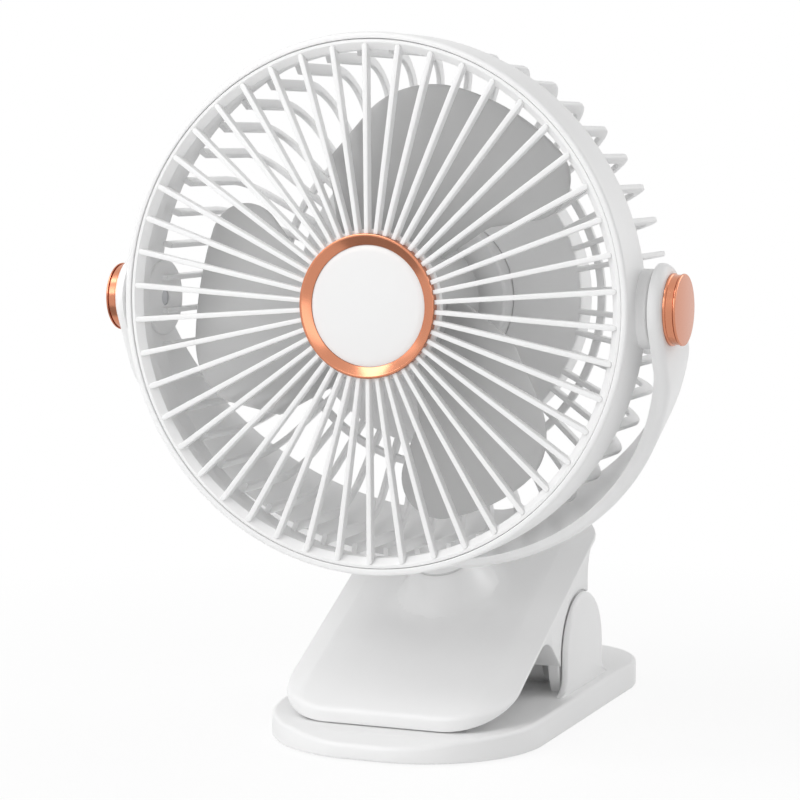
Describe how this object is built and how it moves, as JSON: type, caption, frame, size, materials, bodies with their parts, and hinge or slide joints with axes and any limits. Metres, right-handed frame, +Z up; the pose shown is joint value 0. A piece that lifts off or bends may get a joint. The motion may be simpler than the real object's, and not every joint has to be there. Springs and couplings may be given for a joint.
{
  "type": "portable camping fan",
  "caption": "Battery clip-on camping fan: caged impeller tilting in a leaning swivel yoke on a sprung clip base that also stands on a table.",
  "frame": {"origin": "middle of the base footprint, on the surface the base stands on", "axes": "+Z up; the fan blows towards -Y; +X runs across the fan along its tilt axis"},
  "size_m": [0.1802, 0.156, 0.2132],
  "materials": {
    "white_shell": "satin moulded",
    "white_gloss": "smooth",
    "pale_grey_plastic": "satin moulded",
    "pale_nylon": "smooth",
    "pale_rubber": "soft",
    "dark_rubber": "soft",
    "rose_gold": "metallised satin",
    "steel": "plain",
    "cell_wrap": "shrink wrap",
    "circuit_green": "lacquered",
    "lens": "clear",
    "magnet_black": "matt",
    "winding": "enamelled wire"
  },
  "bodies": {
    "base": {"base_plate": "white_shell", "foot_pad_front": "dark_rubber", "foot_pad_rear": "dark_rubber", "lower_grip_pad": "pale_rubber", "hinge_pin": "steel", "clip_spring": "steel"},
    "jaw": {"upper_jaw": "white_shell", "upper_grip_pad": "pale_rubber", "rear_cover": "white_shell", "battery_cell": "cell_wrap", "contact_left": "steel", "contact_right": "steel", "control_board": "circuit_green", "charge_socket": "steel", "indicator_lens": "lens"},
    "button": {"power_button": "white_shell"},
    "yoke": {"yoke": "white_shell", "swivel_washer": "pale_nylon", "swivel_retainer": "steel", "pivot_screw_left": "steel", "pivot_screw_right": "steel", "tilt_washer_left": "pale_nylon", "tilt_washer_right": "pale_nylon", "pivot_cap_left": "rose_gold", "pivot_cap_right": "rose_gold"},
    "head": {"rear_cage": "white_shell", "front_grille": "white_shell", "hub_ring": "rose_gold", "hub_disc": "white_gloss", "stator": "winding", "bearing_front": "steel", "bearing_rear": "steel", "motor_base": "pale_nylon", "motor_housing": "white_shell", "pod_cover": "white_shell", "pod_screws": "steel"},
    "rotor": {"impeller": "pale_grey_plastic", "impeller_nut": "steel", "motor_shaft": "steel", "rotor_bell": "steel", "magnet_ring": "magnet_black"}
  },
  "joints": [
    {"name": "clip_open", "type": "hinge", "parent": "base", "child": "jaw", "pos_m": [0, 0.011, 0.021], "axis": [-1, 0, 0], "range_deg": [0, 28], "stiffness_Nm_per_rad": 0.6, "springref_deg": -28.65},
    {"name": "power_press", "type": "slide", "parent": "jaw", "child": "button", "axis": [0, -1, 0], "range_m": [0, 0.0005], "stiffness_N_per_m": 400},
    {"name": "yoke_swivel", "type": "hinge", "parent": "jaw", "child": "yoke", "pos_m": [0, -0.056, 0.1342], "axis": [0, -0.4509, 0.8926], "range_deg": [-170, 170]},
    {"name": "head_tilt", "type": "hinge", "parent": "yoke", "child": "head", "pos_m": [0, -0.056, 0.1342], "axis": [1, 0, 0], "range_deg": [-90, 90]},
    {"name": "fan_spin", "type": "hinge", "parent": "head", "child": "rotor", "pos_m": [0, -0.056, 0.1342], "axis": [0, 1, 0], "continuous": true}
  ]
}
